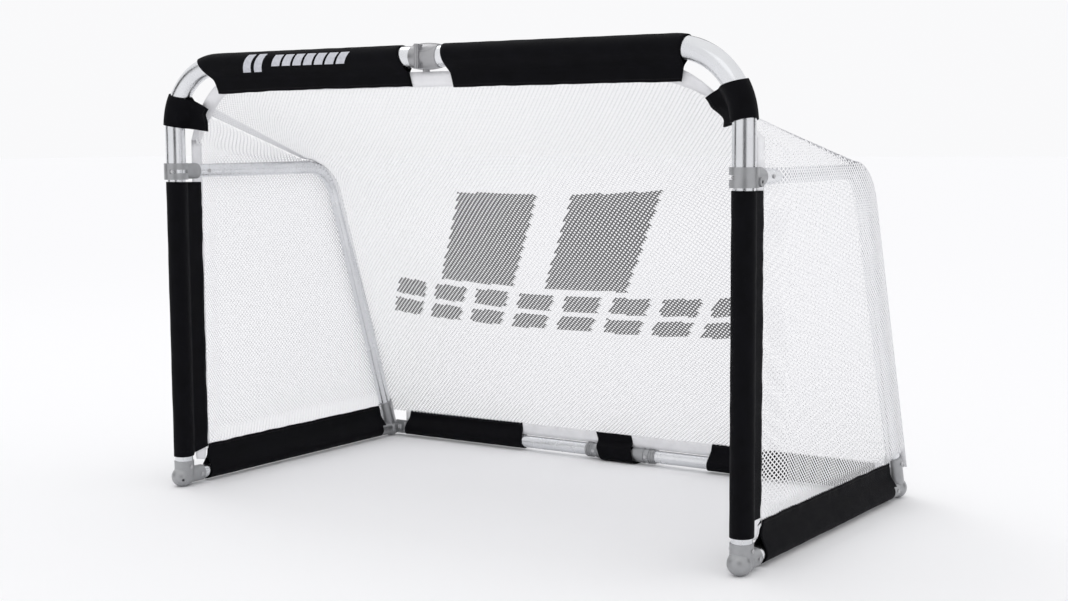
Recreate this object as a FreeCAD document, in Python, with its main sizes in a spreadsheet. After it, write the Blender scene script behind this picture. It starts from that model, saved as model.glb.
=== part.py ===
import FreeCAD, Part
import os
import re

# Folding training goal: aluminium tube frame, moulded joints, fabric sleeves and a mesh net.
# Millimetres. +X runs along the crossbar, +Y from the goal mouth to the rear bar, +Z up.
# The origin is on the ground, in the middle of the overall width and depth.

SIZES = {
    # overall frame
    "half_span": 582,
    "bar_height": 782,
    "front": -318,
    "depth": 630,
    "ground_axis": 18.5,
    # tubes
    "top_radius": 18,
    "top_wall": 1.5,
    "top_bend": 115,
    "post_radius": 16.42,
    "post_wall": 1.6,
    "post_top": 640,
    "thin_radius": 12.5,
    "thin_wall": 1.2,
    # side arm
    "arm_height": 590,
    "arm_corner": 427,
    "arm_bend": 85,
    "arm_lean": 71.7,
    "arm_leg": 574,
    "arm_start": 50,
    # foot
    "foot_ball": 19,
    "foot_toe": 7,
    "foot_socket": 18.3,
    "foot_top": 48,
    "foot_reach": 42,
    "tube_seat": 17,
    "thin_socket": 15,
    "peg_radius": 2.6,
    "peg_height": 15,
    "peg_angle": -37,
    "peg_bottom": 9,
    # rivets, as the places of their shanks
    "rivet_radius": 2,
    "head_rim": 1.6,
    "head_height": 1.2,
    "foot_rivet_z": 38,
    "foot_rivet_y": 31,
    "arm_rivet_y": 73,
    "corner_rivet_y": 588,
    "leg_rivet_z": 66,
    # collar on the post
    "collar_base": 575,
    "collar_height": 30,
    "collar_radius": 22,
    "collar_step": 8,
    "slot_height": 7,
    "slot_start": -75.5,
    "slot_sweep": 105,
    "stop_angle": -66,
    "neck_radius": 14.4,
    "neck_spigot": 34,
    "ear_radius": 7.5,
    "ear_hole": 2.6,
    "ear_y": 12,
    "ear_rise": 8.5,
    # rear corner
    "corner_ball": 18.7,
    "corner_start": 575,
    "corner_leg": 62,
    "corner_half": 12.5,
    "corner_ear": 5.8,
    # crossbar hinge
    "hinge_offset": 22,
    "hinge_belly": 22,
    "hinge_neck": 19.2,
    "hinge_left": 21,
    "hinge_right": 33,
    "knuckle_radius": 4.5,
    "pin_radius": 3,
    "tongue_level": 7,
    "tongue_flat": 14,
    "tongue_reach": 40,
    "button_radius": 6,
    "button_x": 3,
    "button_stem": 3,
    "hinge_split": 5,
    "knuckle_reach": 19,
    "spigot_length": 30,
    # rear bar
    "eye_inset": 32,
    "eye_radius": 10,
    "eye_height": 12.8,
    "tube_inset": 22,
    "rear_offset": 25,
    "rear_knuckle": 5.5,
    "rear_pin": 2.5,
    "socket_radius": 14,
    "socket_outer": 80,
    "socket_inner": 28,
    "socket_depth": 28,
    "rib_rim": 1.3,
    "rib_width": 2.4,
    "lug_height": 11.3,
    "socket_rivet": -60.2,
    "open_pivot": 1.8,
    # fabric
    "cloth": 1.4,
    "cloth_gap": 0.4,
    "flap": 2.4,
    "post_sleeve_start": 58,
    "post_sleeve_length": 512,
    "post_flap_start": 78,
    "post_flap_width": 43,
    "bar_sleeve_inset": 45,
    "bar_flap_drop": 52,
    "bar_flap_width": 33,
    "base_sleeve_start": 62,
    "base_sleeve_length": 510,
    "base_flap_width": 34,
    "rear_sleeve_start": 510,
    "rear_sleeve_length": 270,
    "rear_flap_width": 24,
    "flap_rise": 13.5,
    "band_start": 147,
    "band_sweep": 28,
    "net_thickness": 1.5,
    "side_net_out": 18.4,
    "side_net_thickness": 1.2,
    "net_inset": 26,
    "net_corner": 46,
    "tab_thickness": 1.6,
    "tab_width": 30,
    "tab_height": 14,
    "wrap_start": -46,
    "wrap_length": 76,
    "wrap_front": 17.4,
    "wrap_height": 33.6,
    "wrap_lift": 1.5,
    # fits
    "fit": 0.05,
    "running": 0.08,
    "split": 0.2,
}

# Longer or wider than anything that a cutting tool has to pass through.
LONG = 60

X_AXIS = FreeCAD.Vector(1, 0, 0)
Y_AXIS = FreeCAD.Vector(0, 1, 0)
Z_AXIS = FreeCAD.Vector(0, 0, 1)
ALONG = {
    "x": FreeCAD.Rotation(Y_AXIS, 90),
    "y": FreeCAD.Rotation(X_AXIS, -90),
    "z": FreeCAD.Rotation(),
}

doc = FreeCAD.newDocument("folding_goal")
sheet = doc.addObject("Spreadsheet::Sheet", "dims")
for row, (alias, value) in enumerate(SIZES.items(), start=1):
    sheet.set(f"A{row}", alias)
    sheet.set(f"B{row}", str(value))
    sheet.setAlias(f"B{row}", alias)
doc.recompute()

nodes = []


def expression(text):
    """Turns size names in a formula into references to the sheet's cells."""
    return re.sub(r"[a-z_]+", lambda m: f"dims.{m[0]}" if m[0] in SIZES else m[0], str(text))


def bind(thing, **formulas):
    """Drives an object's properties with formulas of the sheet's sizes."""
    for name, formula in formulas.items():
        thing.setExpression(name, expression(formula))
    return thing


def place(thing, x=0, y=0, z=0, turn=None):
    """Puts an object at x, y, z, where y is counted from the goal mouth's plane."""
    thing.Placement = FreeCAD.Placement(FreeCAD.Vector(), turn or FreeCAD.Rotation())
    thing.setExpression("Placement.Base.x", expression(x))
    thing.setExpression("Placement.Base.y", expression(f"front + {y}"))
    thing.setExpression("Placement.Base.z", expression(z))
    return thing


def rod(radius, length, x=0, y=0, z=0, along="z", turn=None):
    """A cylinder that starts at x, y, z and runs along an axis."""
    shape = bind(doc.addObject("Part::Cylinder", "rod"), Radius=radius, Height=length)
    return place(shape, x, y, z, turn or ALONG[along])


def block(length, width, height, x=0, y=0, z=0, turn=None):
    """A box whose lowest corner is at x, y, z."""
    shape = bind(doc.addObject("Part::Box", "block"), Length=length, Width=width, Height=height)
    return place(shape, x, y, z, turn)


def ball(radius, x=0, y=0, z=0):
    return place(bind(doc.addObject("Part::Sphere", "ball"), Radius=radius), x, y, z)


def elbow(bend, radius, sweep, x=0, y=0, z=0, turn=None):
    """Part of a torus about x, y, z: a bent length of round bar."""
    shape = doc.addObject("Part::Torus", "elbow")
    bind(shape, Radius1=bend, Radius2=radius, Angle3=sweep)
    return place(shape, x, y, z, turn)


def fuse(*shapes):
    joined = doc.addObject("Part::MultiFuse", "fuse")
    joined.Shapes = list(shapes)
    return joined


def cut(base, *tools):
    """Takes one or more tools away from a shape, one after another."""
    for tool in tools:
        result = doc.addObject("Part::Cut", "cut")
        result.Base = base
        result.Tool = tool
        base = result
    return base


def common(first, second):
    result = doc.addObject("Part::Common", "common")
    result.Base = first
    result.Tool = second
    return result


def node(thing, name):
    """Names a finished sub-part."""
    thing.Label = name
    nodes.append(thing)
    return thing


def mirrored(thing):
    """The same shape on the right-hand side."""
    other = doc.addObject("Part::Mirroring", "mirror")
    other.Source = thing
    other.Normal = X_AXIS
    other.Base = FreeCAD.Vector()
    return other


def both_sides(thing, name):
    """Names a left-hand sub-part and adds its mirror image on the right."""
    node(thing, f"left_{name}")
    node(mirrored(thing), f"right_{name}")


def tube(radius, wall, length, x=0, y=0, z=0, along="z"):
    outer = rod(radius, length, x, y, z, along)
    return cut(outer, rod(f"{radius} - {wall}", length, x, y, z, along))


def rivet(length, x, y, z, along="x"):
    """A shank with a flat round head at each end; x, y, z is the shank's start."""
    head = {"x": 0, "y": 0, "z": 0, along: "head_height"}
    start = {"x": x, "y": y, "z": z}
    far = dict(start)
    far[along] = f"{start[along]} + {length}"
    near = {axis: f"{start[axis]} - {head[axis]}" for axis in "xyz"}
    shank = rod("rivet_radius", length, **start, along=along)
    first = rod("rivet_radius + head_rim", "head_height", **near, along=along)
    last = rod("rivet_radius + head_rim", "head_height", **far, along=along)
    return fuse(shank, first, last)


# ---- places that several pieces share, on the left-hand side ---------------------------------
POST = "-half_span"
BEND_START = "(arm_corner - arm_bend * tan(arm_lean / 2))"
LEG_Y = "(arm_corner + arm_bend * tan(arm_lean / 2) * cos(arm_lean))"
LEG_Z = "(arm_height - arm_bend * tan(arm_lean / 2) * sin(arm_lean))"
LEG_LENGTH = "(arm_leg - arm_bend * tan(arm_lean / 2))"
JUNCTION_Y = "(arm_corner + (arm_height - ground_axis) / tan(arm_lean))"
BEND_X = "(top_bend - half_span)"
BEND_Z = "(bar_height - top_bend)"
PIVOT_X = "(eye_inset - half_span)"
TUBE_END_X = "(eye_inset + tube_inset - half_span)"
DOWN_LEG = FreeCAD.Rotation(X_AXIS, -90 - SIZES["arm_lean"])
UP_LEG = FreeCAD.Rotation(X_AXIS, 90 - SIZES["arm_lean"])
YZ_PLANE = FreeCAD.Rotation(FreeCAD.Vector(1, 1, 1), 120)
XZ_PLANE = FreeCAD.Rotation(X_AXIS, 90)

LEG_RIVET_Y = f"({JUNCTION_Y} - (leg_rivet_z - ground_axis) / tan(arm_lean))"


def across(reach, y, z):
    """A rivet's place when it runs along X through the left-hand frame, reach to each side."""
    return {"length": f"2 * {reach}", "x": f"{POST} - {reach}", "y": y, "z": z}


FRAME_RIVETS = [
    across("foot_socket", 0, "foot_rivet_z"),
    across("thin_socket", "foot_rivet_y", "ground_axis"),
    across("thin_radius", "arm_rivet_y", "arm_height"),
    across("thin_socket", "corner_rivet_y", "ground_axis"),
    across("thin_socket", LEG_RIVET_Y, "leg_rivet_z"),
]


def frame_rivet_holes():
    return [rod("rivet_radius + fit", f"{r['length']} + 4", f"{r['x']} - 2", r["y"], r["z"], "x")
            for r in FRAME_RIVETS]


def posts():
    """Lower post tubes and the tubes along the ground."""
    height = "post_top - ground_axis - 2"
    post = tube("post_radius", "post_wall", height, POST, 0, "ground_axis + 2")
    both_sides(cut(post, frame_rivet_holes()[0]), "post_tube")
    base = tube("thin_radius", "thin_wall", "depth - 45", POST, "tube_seat", "ground_axis", "y")
    holes = frame_rivet_holes()
    both_sides(cut(base, holes[1], holes[3]), "base_tube")


def pointing(angle, radius, start, length, z, ahead=0):
    """A rod that points out level from the post's axis; the angle is counted from +X."""
    turn = FreeCAD.Rotation(Z_AXIS, SIZES[angle]) * ALONG["x"]
    return rod(radius, length, f"{POST} + {start} * cos({angle})",
               f"{start} * sin({angle}) - {ahead}", z, turn=turn)


def feet():
    """Moulded elbows: a ball for a toe, an upright socket and a socket along the ground."""
    solid = fuse(
        ball("foot_ball", POST, "-foot_toe", "ground_axis"),
        ball("foot_socket", POST, 0, "ground_axis"),
        rod("foot_socket", "foot_top - ground_axis", POST, 0, "ground_axis"),
        rod("thin_socket", "foot_reach", POST, 0, "ground_axis", "y"),
    )
    holes = frame_rivet_holes()
    foot = cut(
        solid,
        rod("post_radius + fit", LONG, POST, 0, "ground_axis + 2"),
        rod("thin_radius + fit", LONG, POST, "tube_seat", "ground_axis", "y"),
        pointing("peg_angle", "peg_radius", "peg_bottom", "foot_ball", "peg_height", "foot_toe"),
        block(LONG, LONG, LONG, f"{POST} - {LONG / 2}", -LONG / 2, -LONG),
        holes[0],
        holes[1],
    )
    both_sides(foot, "foot")


def arm_bar(radius):
    """Solid bar along the side arm: level run, bend and leaning leg."""
    level = rod(radius, f"{BEND_START} - arm_start", POST, "arm_start", "arm_height", "y")
    bend = elbow("arm_bend", radius, "arm_lean", POST, BEND_START, "arm_height - arm_bend",
                 YZ_PLANE * FreeCAD.Rotation(Z_AXIS, 90 - SIZES["arm_lean"]))
    leg = rod(radius, LEG_LENGTH, POST, LEG_Y, LEG_Z, turn=DOWN_LEG)
    return fuse(level, bend, leg)


def arms():
    holes = frame_rivet_holes()
    both_sides(cut(arm_bar("thin_radius"), arm_bar("thin_radius - thin_wall"), holes[2], holes[4]),
               "arm_tube")


def collars():
    """Collar that holds the arm and lets the top tube turn on the post tube, up to a stop."""
    ear_z = "collar_base + ear_rise"
    neck = fuse(
        rod("neck_radius", "arm_start - 2", POST, 2, "arm_height", "y"),
        rod("thin_radius - thin_wall - fit", "arm_start + neck_spigot", POST, 3, "arm_height", "y"),
    )
    ear = rod("ear_radius", "collar_radius - 4", f"{POST} - collar_radius - 2", "ear_y", ear_z,
              "x")
    slot = bind(doc.addObject("Part::Cylinder", "slot"), Radius="collar_radius + 8",
                Height="slot_height", Angle="slot_sweep")
    place(slot, POST, 0, "arm_height - slot_height / 2",
          FreeCAD.Rotation(Z_AXIS, SIZES["slot_start"]))
    ring = cut(
        rod("collar_radius", "collar_height", POST, 0, "collar_base"),
        rod("top_radius + running", LONG, POST, 0, "collar_base + collar_step"),
        rod("post_radius + fit", LONG, POST, 0, "collar_base - 2"),
        slot,
    )
    outside = cut(fuse(neck, ear), rod("collar_radius - 2", LONG, POST, 0, "collar_base - 10"))
    collar = cut(
        fuse(ring, outside),
        rod("ear_hole", 9, f"{POST} - collar_radius - 4", "ear_y", ear_z, "x"),
        frame_rivet_holes()[2],
    )
    both_sides(collar, "collar")


def frame_rivets():
    both_sides(fuse(*[rivet(**place) for place in FRAME_RIVETS]), "frame_rivets")


def rear_corners():
    """Moulded corner: sockets for the ground tube and the arm, and a fork for the rear bar."""
    fork = []
    for z in ("ground_axis - corner_half", "ground_axis + corner_half - corner_ear"):
        fork.append(rod("eye_radius", "corner_ear", PIVOT_X, "depth", z))
        fork.append(block("eye_inset", "2 * eye_radius", "corner_ear", POST,
                          "depth - eye_radius", z))
    solid = fuse(
        ball("corner_ball", POST, JUNCTION_Y, "ground_axis"),
        rod("thin_socket", f"{JUNCTION_Y} - corner_start", POST, "corner_start", "ground_axis",
            "y"),
        rod("thin_socket", "corner_leg", POST, JUNCTION_Y, "ground_axis", turn=UP_LEG),
        block(16, "3 * eye_radius", "2 * corner_half", POST, "depth - 2 * eye_radius",
              "ground_axis - corner_half"),
        *fork,
    )
    holes = frame_rivet_holes()
    corner = cut(
        solid,
        rod("thin_radius + fit", 32.5, POST, 570, "ground_axis", "y"),
        rod("thin_radius + fit", 100, POST, "(arm_corner + arm_leg * cos(arm_lean))",
            "(arm_height - arm_leg * sin(arm_lean))", turn=UP_LEG),
        rod("pin_radius + fit", LONG, PIVOT_X, "depth", 0),
        block(LONG, LONG, LONG, f"{POST} - {LONG / 2}", f"{JUNCTION_Y} - {LONG / 2}", -LONG),
        holes[3],
        holes[4],
    )
    both_sides(corner, "rear_corner")
    pin = fuse(
        rod("pin_radius", "2 * corner_half + 2", PIVOT_X, "depth", "ground_axis - corner_half - 1"),
        rod("pin_radius + head_rim", "head_height", PIVOT_X, "depth",
            "ground_axis - corner_half - head_height"),
        rod("pin_radius + head_rim", "head_height", PIVOT_X, "depth",
            "ground_axis + corner_half"),
    )
    both_sides(pin, "rear_corner_pin")


def top_bar(radius, inner_end):
    """Solid bar from the hinge along half the crossbar, round the bend and down the post."""
    level = rod(radius, f"half_span - top_bend - {inner_end}", BEND_X, 0, "bar_height", "x")
    bend = elbow("top_bend", radius, 90, BEND_X, 0, BEND_Z,
                 XZ_PLANE * FreeCAD.Rotation(Z_AXIS, 90))
    lower = "collar_base + collar_step + 0.3"
    drop = rod(radius, f"{BEND_Z} - {lower}", POST, 0, lower)
    return fuse(level, bend, drop)


def top_tube(inner_end):
    hollow = cut(
        top_bar("top_radius", inner_end),
        top_bar("top_radius - top_wall", inner_end),
        pointing("stop_angle", "rivet_radius + fit", 14, 8, "arm_height"),
        rod("rivet_radius + fit", 12, f"-{inner_end} - 6", 10, "bar_height", "y"),
    )
    return hollow


def hinge_rivet(inner_end):
    """Blind rivet at the back of the crossbar, through the tube into the hinge's spigot."""
    return fuse(
        rod("rivet_radius", 10, f"-{inner_end} - 6", 8, "bar_height", "y"),
        rod("rivet_radius + head_rim", "head_height", f"-{inner_end} - 6", "top_radius",
            "bar_height", "y"),
    )


def tops():
    """Bent top tubes with their stop pins and hinge rivets."""
    node(top_tube("hinge_left"), "left_top_tube")
    node(mirrored(top_tube("hinge_right")), "right_top_tube")
    shank = pointing("stop_angle", "rivet_radius", 16.6, 2, "arm_height")
    head = pointing("stop_angle", 3, 18.4, 3.2, "arm_height")
    both_sides(fuse(shank, head), "stop_pin")
    node(hinge_rivet("hinge_left"), "left_hinge_rivet")
    node(mirrored(hinge_rivet("hinge_right")), "right_hinge_rivet")


def turned(name, edges, centre, axis):
    """A solid of revolution, from an outline of edges in a plane that holds the axis."""
    face = Part.Face(Part.Wire(edges))
    shape = doc.addObject("Part::Feature", name)
    shape.Shape = face.revolve(centre, axis, 360)
    return place(shape)


def outline(points):
    """Straight edges round a closed outline."""
    return [Part.makeLine(a, b) for a, b in zip(points, points[1:] + points[:1])]


def hinge_barrel():
    """Barrel-shaped outside of the closed crossbar hinge, flat at the front beside the pin."""
    left, right = -SIZES["hinge_left"], SIZES["hinge_right"]
    z = SIZES["bar_height"]
    neck, belly = z + SIZES["hinge_neck"], z + SIZES["hinge_belly"]
    start = FreeCAD.Vector(left, 0, neck)
    end = FreeCAD.Vector(right, 0, neck)
    axis_start, axis_end = FreeCAD.Vector(left, 0, z), FreeCAD.Vector(right, 0, z)
    arc = Part.Arc(start, FreeCAD.Vector((left + right) / 2, 0, belly), end).toShape()
    edges = [Part.makeLine(axis_start, start), arc, Part.makeLine(end, axis_end),
             Part.makeLine(axis_end, axis_start)]
    barrel = turned("barrel", edges, axis_start, X_AXIS)
    return common(barrel, block(2 * LONG, LONG, LONG, -LONG, "split - hinge_offset",
                                f"bar_height - {LONG / 2}"))


def tongue_space(gap):
    """Turned space round the pin that the left casting's tongue fills, enlarged by a gap."""
    z = SIZES["bar_height"]
    level = z + SIZES["tongue_level"] - gap
    pin_y = -SIZES["hinge_offset"]
    flat, reach = SIZES["tongue_flat"], SIZES["tongue_reach"] + gap
    rim = z + SIZES["hinge_belly"] + 1 - gap
    centre = FreeCAD.Vector(0, pin_y, level)
    inner = FreeCAD.Vector(flat, pin_y, level)
    middle = FreeCAD.Vector((flat + reach) / 2, pin_y, level + (rim - level) * 0.28)
    outer = FreeCAD.Vector(reach, pin_y, rim)
    top = z + 40
    above, roof = FreeCAD.Vector(reach, pin_y, top), FreeCAD.Vector(0, pin_y, top)
    edges = [Part.makeLine(centre, inner), Part.Arc(inner, middle, outer).toShape(),
             Part.makeLine(outer, above), Part.makeLine(above, roof), Part.makeLine(roof, centre)]
    return turned("tongue_space", edges, centre, Z_AXIS)


def knuckle(bottom, top):
    """Lug round the hinge pin between two levels above or below the crossbar's axis."""
    z = f"bar_height + {bottom}"
    height = f"{top} - ({bottom})"
    return fuse(
        rod("knuckle_radius", height, 0, "-hinge_offset", z),
        block("2 * knuckle_radius", "tongue_flat - 1", height, "-knuckle_radius",
              "-hinge_offset", z),
    )


def crossbar_hinge():
    """Two castings on an upright pin in front, a release button below and its spring."""
    spigot = "top_radius - top_wall - running"
    low, front = f"bar_height - {LONG / 2}", -LONG / 2
    left_half = block(LONG, LONG, LONG, f"-{LONG} - hinge_split - split", front, low)
    right_half = block(LONG, LONG, LONG, "-hinge_split", front, low)
    left = cut(
        fuse(
            common(hinge_barrel(), fuse(left_half, tongue_space(0))),
            knuckle("tongue_level", "knuckle_reach"),
            rod(spigot, "spigot_length + 1", "-hinge_left - spigot_length", 0, "bar_height", "x"),
        ),
        rod("pin_radius + fit", LONG, 0, "-hinge_offset", low),
        rod("rivet_radius + fit", 20, "-hinge_left - 6", 7, "bar_height", "y"),
    )
    node(left, "left_hinge_casting")
    right = cut(
        fuse(
            cut(common(hinge_barrel(), right_half), tongue_space(SIZES["split"])),
            knuckle("-knuckle_reach", "tongue_level - split"),
            rod(spigot, "spigot_length + 1", "hinge_right - 1", 0, "bar_height", "x"),
        ),
        rod("pin_radius + running", LONG, 0, "-hinge_offset", low),
        rod("button_radius + split", 20, "button_x", 0, "bar_height - 32"),
        rod("button_stem + split", 20, "button_x", 0, "bar_height - 14"),
        rod("rivet_radius + fit", 20, "hinge_right + 6", 7, "bar_height", "y"),
    )
    node(right, "right_hinge_casting")
    pin = fuse(
        rod("pin_radius", 39.6, 0, "-hinge_offset", "bar_height - 20"),
        rod("pin_radius + 1.2", 1, 0, "-hinge_offset", "bar_height + 19"),
        rod("pin_radius + 1.2", 1, 0, "-hinge_offset", "bar_height - 20.2"),
    )
    node(pin, "hinge_pin")
    button = fuse(
        rod("button_radius", 7, "button_x", 0, "bar_height - 24.5"),
        rod("button_stem", 20, "button_x", 0, "bar_height - 18"),
    )
    node(button, "release_button")
    coil = cut(rod(5.6, 4.8, "button_x", 0, "bar_height - 17.2"),
               rod(3.6, 4.8, "button_x", 0, "bar_height - 17.2"))
    node(coil, "button_spring")


def rear_eye(hole):
    """Fitting in the corner end of a rear half bar, with an eye for the corner pin."""
    z = "ground_axis - eye_height / 2"
    solid = fuse(
        rod("eye_radius", "eye_height", PIVOT_X, "depth", z),
        block(20, 16, "eye_height", PIVOT_X, "depth - 8", z),
        rod("thin_radius", 4, f"{PIVOT_X} + 18", "depth", "ground_axis", "x"),
        rod("thin_radius - thin_wall - fit", 34, f"{PIVOT_X} + 18", "depth", "ground_axis", "x"),
    )
    return cut(solid, rod(hole, LONG, PIVOT_X, "depth", 0),
               rod("rivet_radius + fit", 30, f"{TUBE_END_X} + 10", "depth - 15", "ground_axis", "y"))


def rear_socket(level):
    """Ribbed fitting on the centre end of a rear half bar, with a lug at one of two levels."""
    ribs = [rod("socket_radius + rib_rim", "rib_width", f"{rib} - socket_outer", "depth",
                "ground_axis", "x") for rib in (3, 8, 13, 25)]
    solid = fuse(
        rod("socket_radius", "socket_outer - socket_inner", "-socket_outer", "depth",
            "ground_axis", "x"),
        block("socket_inner + 2", "rear_offset + 9.8", "lug_height", "-socket_inner - 2",
              "depth - 10", level),
        rod("rear_knuckle", "lug_height", 0, "depth + rear_offset", level),
        *ribs,
    )
    return solid


def rear_socket_cuts(hole):
    return [
        rod("thin_radius + fit", "socket_depth + 2", "-socket_outer - 2", "depth", "ground_axis",
            "x"),
        rod(hole, LONG, 0, "depth + rear_offset", -10),
        rod("rivet_radius + fit", 40, "socket_rivet", "depth - 20", "ground_axis", "y"),
    ]


def rear_bar():
    """Rear bar in two halves, hinged at the corners and at an upright pin behind the centre."""
    node(rear_eye("pin_radius + running"), "left_rear_eye")
    node(mirrored(rear_eye("pin_radius + open_pivot")), "right_rear_eye")
    holes = [rod("rivet_radius + fit", 40, x, "depth - 20", "ground_axis", "y")
             for x in (f"{TUBE_END_X} + 10", "socket_rivet")]
    bar = tube("thin_radius", "thin_wall", f"-{TUBE_END_X} - socket_outer + socket_depth",
               TUBE_END_X, "depth", "ground_axis", "x")
    both_sides(cut(bar, *holes), "rear_tube")
    left = cut(rear_socket("ground_axis + split"), *rear_socket_cuts("rear_pin + fit"))
    node(left, "left_rear_socket")
    right = cut(rear_socket("ground_axis - split - lug_height"),
                *rear_socket_cuts("rear_pin + running"))
    node(mirrored(right), "right_rear_socket")
    rivets = fuse(
        rivet("2 * thin_radius", f"{TUBE_END_X} + 10", "depth - thin_radius", "ground_axis", "y"),
        rivet("2 * socket_radius", "socket_rivet", "depth - socket_radius", "ground_axis", "y"),
    )
    both_sides(rivets, "rear_rivets")
    pin = fuse(
        rod("rear_pin", 24.4, 0, "depth + rear_offset", "ground_axis - 12.2"),
        rod("rear_pin + 1.8", 1, 0, "depth + rear_offset", "ground_axis + 11.5"),
        rod("rear_pin + 1.8", 1, 0, "depth + rear_offset", "ground_axis - 12.7"),
    )
    node(pin, "rear_hinge_pin")


def sleeve(radius, length, x, y, z, along):
    """Fabric tube round a metal tube, with a little room inside."""
    inner = f"{radius} + cloth_gap"
    return cut(rod(f"{inner} + cloth", length, x, y, z, along), rod(inner, length, x, y, z, along))


def sleeves():
    """Black fabric sleeves: each wraps a tube and ends in a flap that holds the net's edge."""
    post = fuse(
        sleeve("post_radius", "post_sleeve_length", POST, 0, "post_sleeve_start", "z"),
        block("flap", "post_flap_width",
              "post_sleeve_start + post_sleeve_length - post_flap_start", f"{POST} - flap / 2",
              17.5, "post_flap_start"),
    )
    both_sides(post, "post_sleeve")
    length = "half_span - top_bend - bar_sleeve_inset"
    bar = fuse(
        sleeve("top_radius", length, BEND_X, 0, "bar_height", "x"),
        block(length, "flap", "bar_flap_width", BEND_X, "-flap / 2",
              "bar_height - bar_flap_drop"),
    )
    both_sides(bar, "crossbar_sleeve")
    base = fuse(
        sleeve("thin_radius", "base_sleeve_length", POST, "base_sleeve_start", "ground_axis",
               "y"),
        block("flap", "base_sleeve_length", "base_flap_width", f"{POST} - flap / 2",
              "base_sleeve_start", "ground_axis + flap_rise"),
    )
    both_sides(base, "base_sleeve")
    rear = fuse(
        sleeve("thin_radius", "rear_sleeve_length", "-rear_sleeve_start", "depth",
               "ground_axis", "x"),
        block("rear_sleeve_length", "flap", "rear_flap_width", "-rear_sleeve_start",
              "depth - flap / 2", "ground_axis + flap_rise"),
    )
    both_sides(rear, "rear_sleeve")


def corner_bands():
    """Fabric bands that tie the net to the corner bends."""
    turn = XZ_PLANE * FreeCAD.Rotation(Z_AXIS, SIZES["band_start"])
    inside = "top_radius + 2 * cloth_gap"
    outer = elbow("top_bend", f"{inside} + cloth", "band_sweep", BEND_X, 0, BEND_Z, turn)
    inner = elbow("top_bend", inside, "band_sweep", BEND_X, 0, BEND_Z, turn)
    both_sides(cut(outer, inner), "corner_band")


def foot_tabs():
    """Webbing tabs between each post's sleeve and the sleeve along the ground."""
    tab = block("tab_thickness", "tab_width", "tab_height", f"{POST} - tab_thickness / 2", 20, 44)
    both_sides(tab, "foot_tab")


def panel(name, points, start, thickness, direction):
    """A flat panel: an outline in the YZ plane given a thickness along X."""
    corners = [FreeCAD.Vector(start, y, z) for y, z in points]
    face = Part.Face(Part.Wire(outline(corners)))
    shape = doc.addObject("Part::Feature", name)
    shape.Shape = face.extrude(direction * thickness)
    return place(shape)


def nets():
    """Side nets, and the one cloth that is both roof and back."""
    side = [(24, 40), (24, 588), (365, 588), (440, 560), (612, 40)]
    side_x = -SIZES["half_span"] - SIZES["side_net_out"]
    both_sides(panel("side", side, side_x, SIZES["side_net_thickness"], X_AXIS), "side_net")
    thick = SIZES["net_thickness"]
    line = [(5, 744), (300, 560), (604, 68)]
    back = line + [(y - thick, z - thick) for y, z in reversed(line)]
    width = 2 * (SIZES["half_span"] - SIZES["net_inset"])
    cloth = panel("back", back, -width / 2, width, X_AXIS)
    corner = SIZES["net_corner"]
    clear = [block(corner, 200, 200, x, -20, BEND_Z)
             for x in (-width / 2, width / 2 - corner)]
    node(cut(cloth, *clear), "main_net")


def centre_wrap():
    """Fabric wrap over the rear bar's hinge; it crumples when the bar folds."""
    across_bar = "rear_offset + rear_knuckle + 19.5"
    shell = cut(
        block("wrap_length", across_bar, "wrap_height", "wrap_start", "depth - wrap_front",
              "wrap_lift"),
        block("wrap_length", f"{across_bar} - 2 * cloth", "wrap_height - 2 * cloth", "wrap_start",
              "depth - wrap_front + cloth", "wrap_lift + cloth"),
    )
    flap = block("wrap_length", "flap", 20, "wrap_start", "depth - flap / 2",
                 "wrap_lift + wrap_height")
    node(fuse(shell, flap), "centre_wrap")


def write():
    """Checks every object and writes one STEP file for each sub-part."""
    doc.recompute()
    for thing in doc.Objects:
        if "Invalid" in thing.State or "Error" in thing.State:
            raise SystemExit(f"{thing.Label} did not compute: {thing.State}")
    os.makedirs("parts", exist_ok=True)
    for thing in nodes:
        if thing.Shape.isNull() or not thing.Shape.isValid():
            raise SystemExit(f"{thing.Label} has no valid shape")
        thing.Shape.exportStep(f"parts/{thing.Label}.step")
        print(thing.Label, len(thing.Shape.Solids), round(thing.Shape.Volume))


posts()
feet()
arms()
collars()
frame_rivets()
rear_corners()
tops()
crossbar_hinge()
rear_bar()
sleeves()
corner_bands()
foot_tabs()
nets()
centre_wrap()
write()
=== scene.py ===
import math

import bpy
from mathutils import Matrix, Vector, noise


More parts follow.
